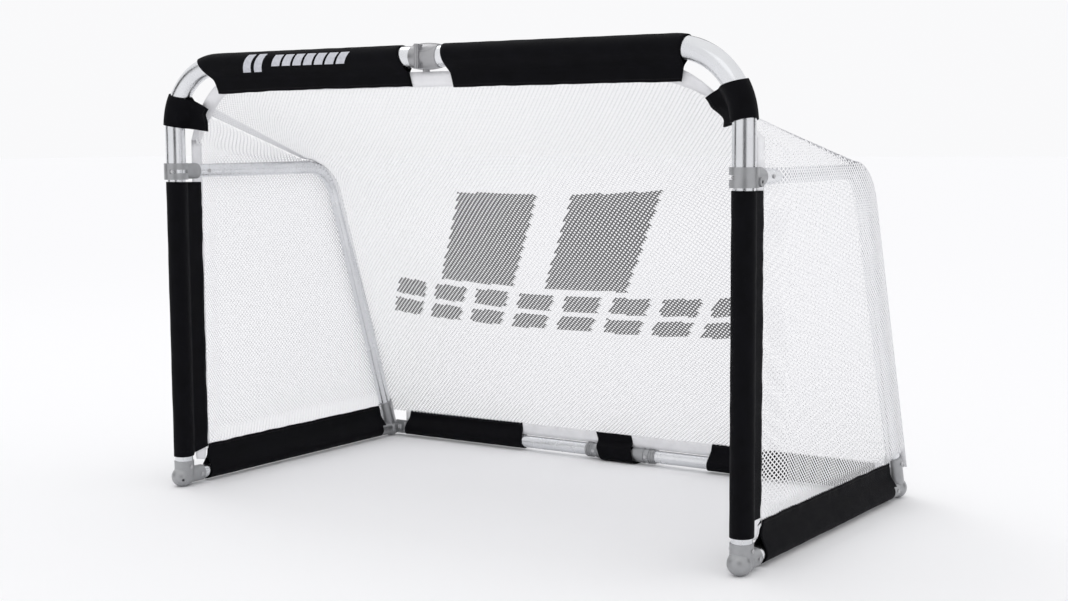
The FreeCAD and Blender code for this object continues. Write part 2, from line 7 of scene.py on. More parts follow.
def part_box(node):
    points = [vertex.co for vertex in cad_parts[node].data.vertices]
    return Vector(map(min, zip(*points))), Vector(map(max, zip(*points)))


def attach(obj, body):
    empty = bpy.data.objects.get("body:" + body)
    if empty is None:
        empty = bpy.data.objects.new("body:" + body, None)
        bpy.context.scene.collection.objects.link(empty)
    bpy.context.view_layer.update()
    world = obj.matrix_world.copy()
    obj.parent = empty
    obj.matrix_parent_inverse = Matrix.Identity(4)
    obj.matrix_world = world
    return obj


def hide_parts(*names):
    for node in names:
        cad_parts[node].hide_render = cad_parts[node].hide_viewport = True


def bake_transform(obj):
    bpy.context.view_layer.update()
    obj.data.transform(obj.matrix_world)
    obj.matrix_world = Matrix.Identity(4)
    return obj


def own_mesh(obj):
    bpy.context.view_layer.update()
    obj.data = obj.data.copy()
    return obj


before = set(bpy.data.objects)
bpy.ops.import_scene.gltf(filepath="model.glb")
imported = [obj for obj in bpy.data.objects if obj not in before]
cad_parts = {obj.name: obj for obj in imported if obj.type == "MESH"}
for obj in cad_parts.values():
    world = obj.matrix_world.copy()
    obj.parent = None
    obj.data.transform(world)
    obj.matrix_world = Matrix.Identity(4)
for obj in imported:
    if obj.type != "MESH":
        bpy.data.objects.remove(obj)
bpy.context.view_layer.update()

# The folding goal's looks: cloth, net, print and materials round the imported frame.
# Metres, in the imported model's frame: +X along the crossbar, +Y to the rear, +Z up.


# ---- driving places and sizes, from the frame --------------------------------------------------
def middle(node):
    """The middle of a node's box."""
    low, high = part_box(node)
    return (low + high) / 2


MOUTH = middle("left_post_tube").y
SPAN = -middle("left_post_tube").x
BAR_Z = middle("left_hinge_rivet").z
GROUND = middle("left_base_tube").z
REAR = middle("left_rear_tube").y - MOUTH
TOP_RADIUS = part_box("left_top_tube")[1].z - BAR_Z
POST_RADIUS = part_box("left_post_tube")[1].x + SPAN
THIN_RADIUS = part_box("left_base_tube")[1].z - GROUND
ARM_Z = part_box("left_arm_tube")[1].z - THIN_RADIUS
BEND_X = -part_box("left_crossbar_sleeve")[0].x
BEND = SPAN - BEND_X
BEND_Z = BAR_Z - BEND

# The arm: its bend's radius, the depth of the corner that the bend rounds, how steep its leg is,
# and the depth where the bend starts.
ARM_BEND = 0.085
ARM_CORNER = 0.427
ARM_LEAN = math.radians(71.7)
ARM_BEND_DEPTH = ARM_CORNER - ARM_BEND * math.tan(ARM_LEAN / 2)

# Thickness of the sleeves' cloth, how much wider than its tube a sleeve is inside, and the room
# for the net between a flap's two layers.
CLOTH = 0.0012
CLOTH_ROOM = 0.0012
NET_ROOM = 0.0012

SIDES = {"left": -1, "right": 1}

# Where each kind of cloth starts in the noise that shapes its folds.
BAR_SEED, POST_SEED, BASE_SEED, REAR_SEED = 11.3, 25.7, 37.1, 43.9
STRAP_SEED, WRAP_SEED = 61.3, 71.9


def at(x, depth, z):
    """A point whose depth is counted from the goal mouth's plane."""
    return Vector((x, MOUTH + depth, z))


def lerp(a, b, share):
    return a + (b - a) * share


def smooth(value, low, high):
    """0 below low, 1 above high, and a soft step between them."""
    share = min(1.0, max(0.0, (value - low) / (high - low)))
    return share * share * (3 - 2 * share)


# ---- camera, floor and light -------------------------------------------------------------------
CAMERA_PLACE = (1.655, -2.465, 0.654)
CAMERA_YAW, CAMERA_PITCH, CAMERA_ROLL = 33.89, 5.80, -0.34
CAMERA_LENS = 55.1


def make_camera():
    yaw, pitch, roll = (math.radians(a) for a in (CAMERA_YAW, CAMERA_PITCH, CAMERA_ROLL))
    forward = Vector((-math.sin(yaw) * math.cos(pitch), math.cos(yaw) * math.cos(pitch),
                      -math.sin(pitch)))
    level = Vector((math.cos(yaw), math.sin(yaw), 0))
    upright = level.cross(forward)
    right = math.cos(roll) * level + math.sin(roll) * upright
    up = math.cos(roll) * upright - math.sin(roll) * level
    data = bpy.data.cameras.new("camera")
    data.lens = CAMERA_LENS
    data.sensor_width = 36
    data.clip_end = 200
    camera = add_object("camera", data)
    turn = Matrix((right, up, -forward)).transposed().to_4x4()
    camera.matrix_world = Matrix.Translation(CAMERA_PLACE) @ turn
    bpy.context.scene.camera = camera


def add_object(name, data):
    made = bpy.data.objects.new(name, data)
    bpy.context.scene.collection.objects.link(made)
    return made


def make_plane(name, corners, material):
    """One face that isn't part of the object."""
    mesh = bpy.data.meshes.new(name)
    mesh.from_pydata(corners, [], [(0, 1, 2, 3)])
    mesh.materials.append(material)
    made = add_object(name, mesh)
    return made


def softbox(name, place, target, size, power):
    """A rectangular light that the camera doesn't see."""
    data = bpy.data.lights.new(name, "AREA")
    data.shape = "RECTANGLE"
    data.size, data.size_y = size
    data.energy = power
    light = add_object(name, data)
    light.location = place
    light.rotation_mode = "QUATERNION"
    light.rotation_quaternion = (Vector(target) - Vector(place)).to_track_quat("-Z", "Y")
    light.visible_camera = False


# The sky's tones: at the horizon and below it, and from there (0) to straight up (1).
SKY_LOW = 0.95
SKY_STOPS = ((0.2, 0.95), (0.45, 0.93), (1.0, 0.99))
FLOOR_HALF = 40

# Dark cards that only reflections show: x, y, half of the width, and height.
CARDS = ((2.9, -4.6, 1.4, 2.4), (-4.6, -2.4, 1.0, 2.4), (4.4, 3.0, 1.1, 2.4),
         (-2.9, 4.6, 1.7, 4.2))


def matt(name, colour):
    """Dull surface with no gloss, for what isn't part of the object."""
    made, tools = new_material(name)
    tools.shader.inputs["Base Color"].default_value = (*colour, 1)
    tools.shader.inputs["Roughness"].default_value = 0.9
    tools.shader.inputs["Specular IOR Level"].default_value = 0.0
    return made


def make_sky():
    world = bpy.data.worlds.new("studio")
    world.use_nodes = True
    tree = world.node_tree
    direction = tree.nodes.new("ShaderNodeTexCoord")
    split = tree.nodes.new("ShaderNodeSeparateXYZ")
    sky = tree.nodes.new("ShaderNodeValToRGB")
    for place, tone in SKY_STOPS:
        stop = sky.color_ramp.elements.new(place)
        stop.color = (tone, tone, tone * 1.012, 1)
    sky.color_ramp.elements[0].color = (SKY_LOW, SKY_LOW, 0.96, 1)
    tree.links.new(direction.outputs["Generated"], split.inputs["Vector"])
    tree.links.new(split.outputs["Z"], sky.inputs["Fac"])
    tree.links.new(sky.outputs["Color"], tree.nodes["Background"].inputs["Color"])
    bpy.context.scene.world = world


def make_cards():
    """Dark cards round the object, which give the metal tubes their dark bands."""
    card = matt("dark_card", (0.02, 0.02, 0.02))
    for number, (x, y, half, tall) in enumerate(CARDS):
        place = Vector((x, y, 0))
        across = Vector((-y, x, 0)).normalized() * half
        up = Vector((0, 0, tall))
        corners = [place - across, place + across, place + across + up, place - across + up]
        board = make_plane(f"dark_card_{number}", corners, card)
        board.visible_camera = False
        board.visible_diffuse = False
        board.visible_shadow = False
        board.visible_transmission = False


def make_studio():
    make_sky()
    bpy.context.scene.view_settings.view_transform = "Standard"
    corners = [(x * FLOOR_HALF, y * FLOOR_HALF, 0) for x, y in ((-1, -1), (1, -1), (1, 1), (-1, 1))]
    make_plane("floor", corners, matt("floor", (0.95, 0.95, 0.96)))
    make_cards()
    sun = bpy.data.lights.new("daylight", "SUN")
    sun.energy = 0.20
    sun.angle = math.radians(24)
    made = add_object("daylight", sun)
    made.rotation_mode = "QUATERNION"
    made.rotation_quaternion = Vector((2.6, -0.9, -3.4)).to_track_quat("-Z", "Y")
    softbox("key", (-2.6, 0.9, 3.4), (0, 0, 0.2), (2.4, 2.4), 3.5)
    softbox("fill", (1.2, -3.0, 3.0), (0, 0, 0.3), (2.2, 1.6), 3)


# ---- materials ---------------------------------------------------------------------------------
class Tools:
    """Short ways to add nodes to one material."""

    def __init__(self, tree):
        self.tree = tree
        self.shader = tree.nodes["Principled BSDF"]

    def add(self, kind, **inputs):
        """A new node with its inputs set or linked. An underscore stands for a space."""
        made = self.tree.nodes.new(kind)
        for name, value in inputs.items():
            self.give(made.inputs[name.replace("_", " ")], value)
        return made

    def give(self, socket, value):
        """Links a socket to an input, or sets the input to a value."""
        if isinstance(value, bpy.types.NodeSocket):
            self.tree.links.new(value, socket)
        else:
            socket.default_value = value

    def coordinates(self, stretch=(1, 1, 1), source="Object"):
        """Coordinates in metres, stretched along each axis."""
        mapping = self.add("ShaderNodeMapping", Scale=stretch)
        self.give(mapping.inputs["Vector"], self.add("ShaderNodeTexCoord").outputs[source])
        return mapping.outputs["Vector"]

    def grain(self, scale, stretch=(1, 1, 1), detail=3.0, rough=0.5):
        """Noise from 0 to 1, with so many features to the metre."""
        made = self.add("ShaderNodeTexNoise", Vector=self.coordinates(stretch), Scale=scale,
                        Detail=detail, Roughness=rough)
        return made.outputs["Fac"]

    def between(self, share, low, high):
        """Noise spread over the range from low to high."""
        made = self.add("ShaderNodeMapRange", Value=share, From_Min=0.3, From_Max=0.7,
                        To_Min=low, To_Max=high)
        return made.outputs["Result"]

    def colours(self, share, first, second):
        """Noise turned into shades between two colours."""
        made = self.add("ShaderNodeValToRGB", Fac=share)
        ramp = made.color_ramp
        ramp.elements[0].position, ramp.elements[1].position = 0.3, 0.7
        ramp.elements[0].color = (*first, 1)
        ramp.elements[1].color = (*second, 1)
        return made.outputs["Color"]

    def bump(self, height, distance, strength=1.0, under=None):
        made = self.add("ShaderNodeBump", Height=height, Distance=distance, Strength=strength)
        if under is not None:
            self.give(made.inputs["Normal"], under)
        return made.outputs["Normal"]

    def math(self, operation, first, second=0.0):
        made = self.tree.nodes.new("ShaderNodeMath")
        made.operation = operation
        self.give(made.inputs[0], first)
        self.give(made.inputs[1], second)
        return made.outputs[0]


def new_material(name):
    made = bpy.data.materials.new(name)
    made.use_nodes = True
    return made, Tools(made.node_tree)


def aluminium():
    """Satin anodised tube with faint handling marks."""
    made, tools = new_material("aluminium")
    shader = tools.shader
    shader.inputs["Metallic"].default_value = 1.0
    cloud = tools.grain(14)
    fine = tools.grain(900, detail=2)
    tools.give(shader.inputs["Base Color"],
               tools.colours(cloud, (0.70, 0.71, 0.73), (0.79, 0.80, 0.82)))
    scuffs = tools.grain(60, stretch=(1, 1, 0.25), detail=5)
    tools.give(shader.inputs["Roughness"], tools.between(scuffs, 0.20, 0.30))
    tools.give(shader.inputs["Normal"], tools.bump(fine, 0.00003, 0.5))
    return made


def moulding(name, dark, light, rough):
    """Grey moulded part: a little metallic pigment, a fine pebbled skin and rubbed places."""
    made, tools = new_material(name)
    shader = tools.shader
    shader.inputs["Metallic"].default_value = 0.75
    patches = tools.grain(45, detail=4)
    pebble = tools.grain(1600, detail=2)
    tools.give(shader.inputs["Base Color"], tools.colours(patches, dark, light))
    tools.give(shader.inputs["Roughness"], tools.between(patches, rough, rough + 0.12))
    wide = tools.bump(tools.grain(120, detail=3), 0.0003, 0.25)
    tools.give(shader.inputs["Normal"], tools.bump(pebble, 0.00006, 0.6, wide))
    return made


def steel():
    """Plated steel of pins, rivets and the spring."""
    made, tools = new_material("steel")
    shader = tools.shader
    shader.inputs["Metallic"].default_value = 1.0
    spots = tools.grain(300, detail=4)
    tools.give(shader.inputs["Base Color"],
               tools.colours(spots, (0.42, 0.42, 0.43), (0.60, 0.60, 0.61)))
    tools.give(shader.inputs["Roughness"], tools.between(spots, 0.25, 0.42))
    tools.give(shader.inputs["Normal"], tools.bump(tools.grain(1500), 0.00004, 0.5))
    return made


def weave(tools, pitch):
    """Height of a plain weave, over and under, from cloth coordinates in metres."""
    place = tools.coordinates((1 / pitch, 1 / pitch, 1), "UV")
    split = tools.add("ShaderNodeSeparateXYZ", Vector=place)
    across = tools.math("SINE", tools.math("MULTIPLY", split.outputs["X"], 2 * math.pi))
    along = tools.math("SINE", tools.math("MULTIPLY", split.outputs["Y"], 2 * math.pi))
    crossing = tools.math("MULTIPLY", across, along)
    return tools.math("MULTIPLY_ADD", crossing, 0.5)


def cloth_material(name, dark, light, pitch, rough, sheen, sheen_tint, specular):
    """Plain-woven cloth with threads of one pitch, uneven dye and soft puckers."""
    made, tools = new_material(name)
    shader = tools.shader
    threads = weave(tools, pitch)
    patches = tools.grain(35, detail=5, rough=0.6)
    tools.give(shader.inputs["Base Color"], tools.colours(patches, dark, light))
    tools.give(shader.inputs["Roughness"], tools.between(patches, rough, min(1, rough + 0.12)))
    shader.inputs["Sheen Weight"].default_value = sheen
    shader.inputs["Sheen Roughness"].default_value = 0.45
    shader.inputs["Sheen Tint"].default_value = (*sheen_tint, 1)
    shader.inputs["Specular IOR Level"].default_value = specular
    pucker = tools.bump(tools.grain(90, detail=4), 0.0006, 0.35)
    tools.give(shader.inputs["Normal"], tools.bump(threads, pitch * 0.2, 0.6, pucker))
    return made


def plain(name, dark, light, rough):
    """Dull thread, ink or strand with a slight change of tone along it."""
    made, tools = new_material(name)
    tone = tools.grain(200, detail=3)
    tools.give(tools.shader.inputs["Base Color"], tools.colours(tone, dark, light))
    tools.give(tools.shader.inputs["Roughness"], tools.between(tone, rough, min(1, rough + 0.1)))
    tools.give(tools.shader.inputs["Normal"], tools.bump(tools.grain(2500), 0.0001, 0.4))
    return made


make_camera()
make_studio()

ALUMINIUM = aluminium()
MOULDING = moulding("moulding_grey", (0.335, 0.34, 0.35), (0.40, 0.405, 0.415), 0.30)
CASTING = moulding("cast_grey", (0.34, 0.34, 0.35), (0.41, 0.41, 0.42), 0.28)
STEEL = steel()
BLACK = cloth_material("sleeve_fabric", (0.0020, 0.0020, 0.0028), (0.0045, 0.0045, 0.0062),
                       pitch=0.0009, rough=0.60, sheen=0.015, sheen_tint=(0.7, 0.7, 0.8),
                       specular=0.06)
TAPE = cloth_material("webbing_white", (0.82, 0.82, 0.84), (0.92, 0.92, 0.94),
                      pitch=0.0012, rough=0.75, sheen=0.15, sheen_tint=(1, 1, 1),
                      specular=0.3)
STRAND = plain("net_strand", (0.93, 0.93, 0.95), (0.98, 0.98, 0.99), 0.6)
INK_STRAND = plain("net_strand_printed", (0.14, 0.14, 0.145), (0.19, 0.19, 0.195), 0.7)
THREAD = plain("thread", (0.035, 0.035, 0.038), (0.06, 0.06, 0.065), 0.6)
PRINT = plain("print_grey", (0.50, 0.51, 0.56), (0.62, 0.63, 0.68), 0.5)

# Materials of the carried-over nodes, by name without its side. The others are steel.
NODE_MATERIALS = {
    "post_tube": ALUMINIUM, "base_tube": ALUMINIUM, "arm_tube": ALUMINIUM,
    "top_tube": ALUMINIUM, "rear_tube": ALUMINIUM, "foot": MOULDING, "collar": MOULDING,
    "rear_corner": MOULDING, "rear_eye": MOULDING, "rear_socket": MOULDING,
    "hinge_casting": CASTING, "release_button": CASTING,
}
# Edges that turn by more than this stay sharp.
SHARP_ANGLE = math.radians(32)


def dress_nodes():
    """Gives every carried-over CAD node its material, and smooth shading between its edges."""
    for name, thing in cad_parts.items():
        kind = name.removeprefix("left_").removeprefix("right_")
        thing.data.materials.clear()
        thing.data.materials.append(NODE_MATERIALS.get(kind, STEEL))
        for face in thing.data.polygons:
            face.use_smooth = True
            face.material_index = 0
        thing.data.set_sharp_from_angle(angle=SHARP_ANGLE)


# ---- cloth wrapped round a tube ----------------------------------------------------------------
OUTLINE_STEP = 0.0025
# Stitches: distance of their row from the flap's tip, their pitch, how thick half of the thread
# is, and how far its middle lies off the cloth.
STITCH_INSET = 0.004
STITCH_PITCH = 0.0042
THREAD_RADIUS = 0.0003
THREAD_LIFT = 0.00035


def teardrop(radius, tip, pinch_degrees):
    """Outline of cloth round a tube: (side, out) from one flap tip, round the tube, to the other.

    out is measured from the tube's axis towards the flap. tip is the flap's reach, and pinch the
    angle from the flap's direction at which the cloth leaves the tube."""
    pinch = math.radians(pinch_degrees)
    half = NET_ROOM / 2 + CLOTH / 2
    meet = radius / math.cos(pinch)
    corners = [(half, tip), (half, meet)]
    turns = max(16, round(radius * 2 * (math.pi - pinch) / OUTLINE_STEP))
    for i in range(turns + 1):
        angle = lerp(pinch, 2 * math.pi - pinch, i / turns)
        corners.append((radius * math.sin(angle), radius * math.cos(angle)))
    corners += [(-half, meet), (-half, tip)]
    return soften(spaced(corners))


def spaced(points):
    """The same line with points no further apart than OUTLINE_STEP."""
    made = [points[0]]
    for a, b in zip(points, points[1:]):
        count = max(1, math.ceil(math.dist(a, b) / OUTLINE_STEP))
        made += [tuple(lerp(p, q, i / count) for p, q in zip(a, b)) for i in range(1, count + 1)]
    return made


def soften(points, rounds=3):
    """The same line with its corners rounded off and its ends left in place."""
    for _ in range(rounds):
        inner = [tuple((a + 2 * b + c) / 4 for a, b, c in zip(*three))
                 for three in zip(points, points[1:], points[2:])]
        points = [points[0], *inner, points[-1]]
    return points


def wavy(*place):
    """Smooth noise from about -1 to 1."""
    return noise.noise(Vector(place))


def flap_sway(t, seed):
    """How far a flap's tip strays sideways, at a place along its path."""
    return 0.0016 * wavy(t * 22, seed, 3.1) + 0.0009 * wavy(t * 70, seed, 9.7)


def cloth_point(path, t, side, out, tight, tip, seed, lift=0.0):
    """A point of the wrapped cloth with its small folds. Folds only push out from the tube."""
    loose = smooth(out, tight, tip)
    reach = math.hypot(side, out)
    fold = 0.5 + 0.5 * wavy(t * 34 + seed, side * 70, out * 40)
    puff = (0.0003 + 0.0009 * fold) * (1 - loose) + lift
    sway = loose * flap_sway(t, seed)
    hang = loose * 0.0011 * wavy(t * 40, seed, 5.3)
    flat = side + side / reach * puff + sway
    if loose > 0.3 and lift:
        flat = side + math.copysign(lift, side) + sway
    centre, across, outward = path(t)
    return centre + across * flat + outward * (out + out / reach * puff * (1 - loose) + hang)


class Wrap:
    """Cloth that follows a path, from a start to an end that may be cut on the slant.

    Its outline is tight round the tube up to a reach of tight, and loose beyond it. flap says how
    many times deeper the loose part gets along the way."""

    def __init__(self, name, path, start, end, outline, seed, tight=None, step=0.005,
                 flap=lambda share: 1.0):
        self.name, self.path, self.seed, self.flap = name, path, seed, flap
        self.outline, self.start, self.end = outline, start, end
        self.tip = max(p[1] for p in outline)
        self.tight = self.tip * 0.55 if tight is None else tight
        low = min(p[1] for p in outline)
        self.share = [(p[1] - low) / (self.tip - low) for p in outline]
        self.rows = max(6, round(abs(end(0.5) - start(0.5)) / step))

    def point(self, i, j, lift=0.0):
        """Row i along the path, outline point j; both may be fractions."""
        j0 = min(int(j), len(self.outline) - 2)
        part = j - j0
        side = lerp(self.outline[j0][0], self.outline[j0 + 1][0], part)
        out = lerp(self.outline[j0][1], self.outline[j0 + 1][1], part)
        share = lerp(self.share[j0], self.share[j0 + 1], part)
        if out > self.tight:
            out = self.tight + (out - self.tight) * self.flap(i / self.rows)
        t = lerp(self.start(share), self.end(share), i / self.rows)
        return cloth_point(self.path, t, side, out, self.tight, self.tip, self.seed, lift)

    def build(self):
        """Makes the cloth, and notes the size that it was cut to."""
        columns = len(self.outline)
        points = [self.point(i, j) for i in range(self.rows + 1) for j in range(columns)]
        faces = [(i * columns + j, i * columns + j + 1, (i + 1) * columns + j + 1,
                  (i + 1) * columns + j)
                 for i in range(self.rows) for j in range(columns - 1)]
        along = [0.0]
        for a, b in zip(self.outline, self.outline[1:]):
            along.append(along[-1] + math.dist(a, b))
        length = abs(self.end(0.5) - self.start(0.5))
        places = [(length * i / self.rows, along[j])
                  for i in range(self.rows + 1) for j in range(columns)]
        self.flat = (along[-1], length)
        made = mesh_object(self.name, points, faces, [BLACK], places)
        thicken(made, CLOTH)
        return made

    def stitches(self, front=True):
        """A row of thread near the flap's tip, on its front or its back face."""
        half = len(self.outline) // 2
        columns = range(half) if front else range(half, len(self.outline) - 1)
        out = self.tip - STITCH_INSET
        j = min(columns, key=lambda k: abs(self.outline[k][1] - out))
        length = abs(self.end(0.5) - self.start(0.5))
        count = int(length / STITCH_PITCH) - 2
        points, faces = [], []
        lift = CLOTH / 2 + THREAD_LIFT
        for k in range(1, count):
            first = self.rows * (k + 0.14) / count
            last = self.rows * (k + 0.80) / count
            add_stitch(points, faces, self.point(first, j, lift), self.point(last, j, lift))
        name = f"{self.name}_thread" if front else f"{self.name}_thread_back"
        return mesh_object(name, points, faces, [THREAD])


def add_stitch(points, faces, a, b):
    """A short thread from a to b, thicker in the middle."""
    along = (b - a).normalized()
    side = along.orthogonal().normalized()
    other = along.cross(side)
    ring = [side, other, -side, -other]
    base = len(points)
    points.append(a)
    points += [(a + b) / 2 + r * THREAD_RADIUS for r in ring]
    points.append(b)
    for k in range(4):
        following = (k + 1) % 4
        faces.append((base, base + 1 + following, base + 1 + k))
        faces.append((base + 5, base + 1 + k, base + 1 + following))


def mesh_object(name, points, faces, materials, places=None, indices=None):
    """A smooth mesh. places are cloth coordinates by point, indices are materials by face."""
    mesh = bpy.data.meshes.new(name)
    mesh.from_pydata([tuple(p) for p in points], [], faces)
    for material in materials:
        mesh.materials.append(material)
    if places:
        layer = mesh.uv_layers.new(name="cloth")
        for loop in mesh.loops:
            layer.data[loop.index].uv = places[loop.vertex_index]
    mesh.polygons.foreach_set("use_smooth", [True] * len(faces))
    if indices:
        mesh.polygons.foreach_set("material_index", indices)
    mesh.validate()
    return add_object(name, mesh)


def thicken(thing, thickness):
    """Gives a surface its thickness, half of it to each side."""
    solid = thing.modifiers.new("thickness", "SOLIDIFY")
    solid.thickness = thickness
    solid.offset = 0
    solid.use_even_offset = True


def finish_sheet(thing, flat, node, body, extra=()):
    """Hides the node that a cloth piece replaces, and makes the piece and what is sewn to it ride
    on a body.
    """
    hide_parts(node)
    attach(thing, body)
    for piece in extra:
        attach(piece, body)


# ---- paths that the cloth follows --------------------------------------------------------------
# A path gives three things for a place t: the tube's centre, the direction across the flap, and
# the direction in which the flap points.
def top_path(sign):
    """Along the crossbar and round the bend. t is counted outwards from the bend's start."""
    def path(t):
        if t <= 0:
            return at(sign * (BEND_X + t), 0, BAR_Z), Vector((0, -1, 0)), Vector((0, 0, -1))
        angle = t / BEND
        if angle > math.pi / 2:
            down = at(sign * SPAN, 0, BEND_Z + BEND * math.pi / 2 - t)
            return down, Vector((0, -1, 0)), Vector((-sign, 0, 0))
        centre = at(sign * (BEND_X + BEND * math.sin(angle)), 0, BEND_Z + BEND * math.cos(angle))
        outward = Vector((-sign * math.sin(angle), 0, -math.cos(angle)))
        return centre, Vector((0, -1, 0)), outward
    return path


def post_path(sign):
    """Up the post. t is the height."""
    def path(t):
        return at(sign * SPAN, 0, t), Vector((-sign, 0, 0)), Vector((0, 1, 0))
    return path


def base_path(sign):
    """Back along the base tube. t is the depth."""
    def path(t):
        return at(sign * SPAN, t, GROUND), Vector((-sign, 0, 0)), Vector((0, 0, 1))
    return path


def rear_path(sign):
    """Along the rear bar. t is counted from its middle."""
    def path(t):
        return at(sign * t, REAR, GROUND), Vector((0, -1, 0)), Vector((0, 0, 1))
    return path


def slant(tube_end, tip_end, power=1.0):
    """A cut that moves from one place at the tube to another at the flap's tip."""
    return lambda share: lerp(tube_end, tip_end, share ** power)


# ---- sleeves -----------------------------------------------------------------------------------
# Crossbar sleeves. inner and outer are the ends: at the tube and at the flap's tip, from the
# crossbar's middle and from the bend's start. deeper is how much the flap grows on its way out.
BAR_SLEEVES = {
    "left": {"inner": (0.0456, 0.027), "outer": (0.0370, 0.0006), "tip": 0.0485, "deeper": 0.17},
    "right": {"inner": (0.0427, 0.059), "outer": (0.0190, 0.0186), "tip": 0.051, "deeper": 0.0},
}
# Rear sleeves: distance of the ends from the rear bar's middle.
REAR_START = {"left": 0.236, "right": 0.198}
REAR_END = 0.552


def sleeve_radius(tube):
    """From a tube's axis to the middle of the cloth round it."""
    return tube + CLOTH_ROOM / 2 + CLOTH / 2


def bar_sleeve(side, sign, seed):
    cut = BAR_SLEEVES[side]
    start_at_tube, start_at_tip = (end - BEND_X for end in cut["inner"])
    outline = teardrop(sleeve_radius(TOP_RADIUS), tip=cut["tip"], pinch_degrees=42)
    return Wrap(f"{side}_crossbar_cover", top_path(sign), slant(start_at_tube, start_at_tip),
                slant(*cut["outer"], 1.15), outline, seed,
                flap=lambda share: 1 + cut["deeper"] * smooth(share, 0.55, 1.0))


def post_sleeve(side, sign, seed):
    outline = teardrop(sleeve_radius(POST_RADIUS), tip=0.061, pinch_degrees=46)
    return Wrap(f"{side}_post_cover", post_path(sign), slant(0.057, 0.066, 2.0),
                slant(0.571, 0.569), outline, seed)


def base_sleeve(side, sign, seed):
    outline = teardrop(sleeve_radius(THIN_RADIUS), tip=0.0515, pinch_degrees=60)
    return Wrap(f"{side}_base_cover", base_path(sign), slant(0.054, 0.065),
                slant(0.592, 0.576), outline, seed)


def rear_sleeve(side, sign, seed):
    outline = teardrop(sleeve_radius(THIN_RADIUS), tip=0.0385, pinch_degrees=52)
    start = REAR_START[side]
    return Wrap(f"{side}_rear_cover", rear_path(sign), slant(start - 0.002, start + 0.005),
                slant(REAR_END - 0.007, REAR_END - 0.018), outline, seed)


def make_sleeves():
    """The black covers of all tubes. Returns the two on the crossbar, by side."""
    bars = {}
    for number, (side, sign) in enumerate(SIDES.items()):
        bars[side] = bar_sleeve(side, sign, BAR_SEED + number)
        for wrap, kind, tube, body in (
                (bars[side], "crossbar", "top_tube", f"{side}_top"),
                (post_sleeve(side, sign, POST_SEED + number), "post", "post_tube", f"{side}_side"),
                (base_sleeve(side, sign, BASE_SEED + number), "base", "base_tube", f"{side}_side"),
                (rear_sleeve(side, sign, REAR_SEED + number), "rear", "rear_tube", f"rear_{side}")):
            cover = wrap.build()
            threads = [wrap.stitches(), wrap.stitches(front=False)]
            finish_sheet(cover, wrap.flat, f"{side}_{kind}_sleeve",
                         body, extra=threads)
    return bars


# Corner straps: their ends as degrees round the bend, at the tube and at the flap's tip, the lean
# of the flap at its start and end, its reach from the tube's axis, and the room under the strap.
STRAP_START, STRAP_TIP_START = 61, 49
STRAP_END, STRAP_TIP_END = 86, 92
STRAP_LEAN = (12, 32)
STRAP_TIP = {"left": 0.061, "right": 0.056}
STRAP_ROOM = 0.0008


def leaning(path, first, last):
    """A path whose flap leans to the rear, more and more between two places along it."""
    def leaned(t):
        centre, across, outward = path(t)
        lean = math.radians(lerp(*STRAP_LEAN, smooth(t, first, last)))
        return (centre, across * math.cos(lean) + outward * math.sin(lean),
                outward * math.cos(lean) - across * math.sin(lean))
    return leaned


def round_bend(degrees):
    """The way along the top path to an angle round its bend."""
    return BEND * math.radians(degrees)


def make_bands():
    """Straps round the bends, whose wide flaps hold the net's tape."""
    first, last = round_bend(STRAP_START), round_bend(STRAP_END)
    for number, (side, sign) in enumerate(SIDES.items()):
        outline = teardrop(sleeve_radius(TOP_RADIUS) + STRAP_ROOM, tip=STRAP_TIP[side],
                           pinch_degrees=44)
        band = Wrap(f"{side}_corner_strap", leaning(top_path(sign), first, last),
                    slant(first, round_bend(STRAP_TIP_START)),
                    slant(last, round_bend(STRAP_TIP_END)), outline, STRAP_SEED + number,
                    step=0.003)
        strap = band.build()
        finish_sheet(strap, band.flat, f"{side}_corner_band",
                     f"{side}_top", extra=[band.stitches()])


# The rear hinge's wrap, counted to the front and up from the rear bar's axis: a loose box round
# the hinge, and a flap that stands up from it.
WRAP_FRONT, WRAP_BACK = 0.0165, -0.0325
WRAP_LOW, WRAP_HIGH = -0.0165, 0.0165
FLAP_HALF, FLAP_TIP = 0.0012, 0.037


def make_centre_wrap():
    """Loose wrap over the rear bar's hinge."""
    front, back, low, high = WRAP_FRONT, WRAP_BACK, WRAP_LOW, WRAP_HIGH
    corners = [(FLAP_HALF, FLAP_TIP), (FLAP_HALF, high + 0.004), (front - 0.005, high - 0.002),
               (front, high - 0.008), (front, low + 0.006), (front - 0.006, low),
               (back + 0.006, low), (back, low + 0.006), (back, high - 0.006),
               (back + 0.006, high), (-0.006, high + 0.002), (-FLAP_HALF, high + 0.006),
               (-FLAP_HALF, FLAP_TIP)]
    wrap = Wrap("centre_wrap_cloth", rear_path(1), slant(-0.041, -0.060), slant(0.036, 0.022),
                soften(spaced(corners), 4), WRAP_SEED, tight=0.02, step=0.003)
    cloth = wrap.build()
    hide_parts("centre_wrap")
    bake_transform(cloth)


# ---- the net -----------------------------------------------------------------------------------
# Mesh: half of the distance between two knots of a row, and half of a knot's size in the plain
# and in the printed mesh.
CELL = 0.0042
KNOT_HALF = 0.0015
INK_KNOT_HALF = 0.0020
# The cloth of roof and back: its length from front to rear edge, how far off the arm tubes it
# lies, and how far outside their axes.
NET_LENGTH = 0.945
NET_GAP = 0.0045
OUTER_X = THIN_RADIUS + NET_GAP
# Front edge: its height along the crossbar, where it starts to round the corner, and half of its
# width. WIDE_SHARE is the share of the length at which the cloth is as wide as the arms.
NET_TOP_Z = BAR_Z - 0.037
EDGE_START = 0.44
FRONT_HALF = 0.535
WIDE_SHARE = 0.354
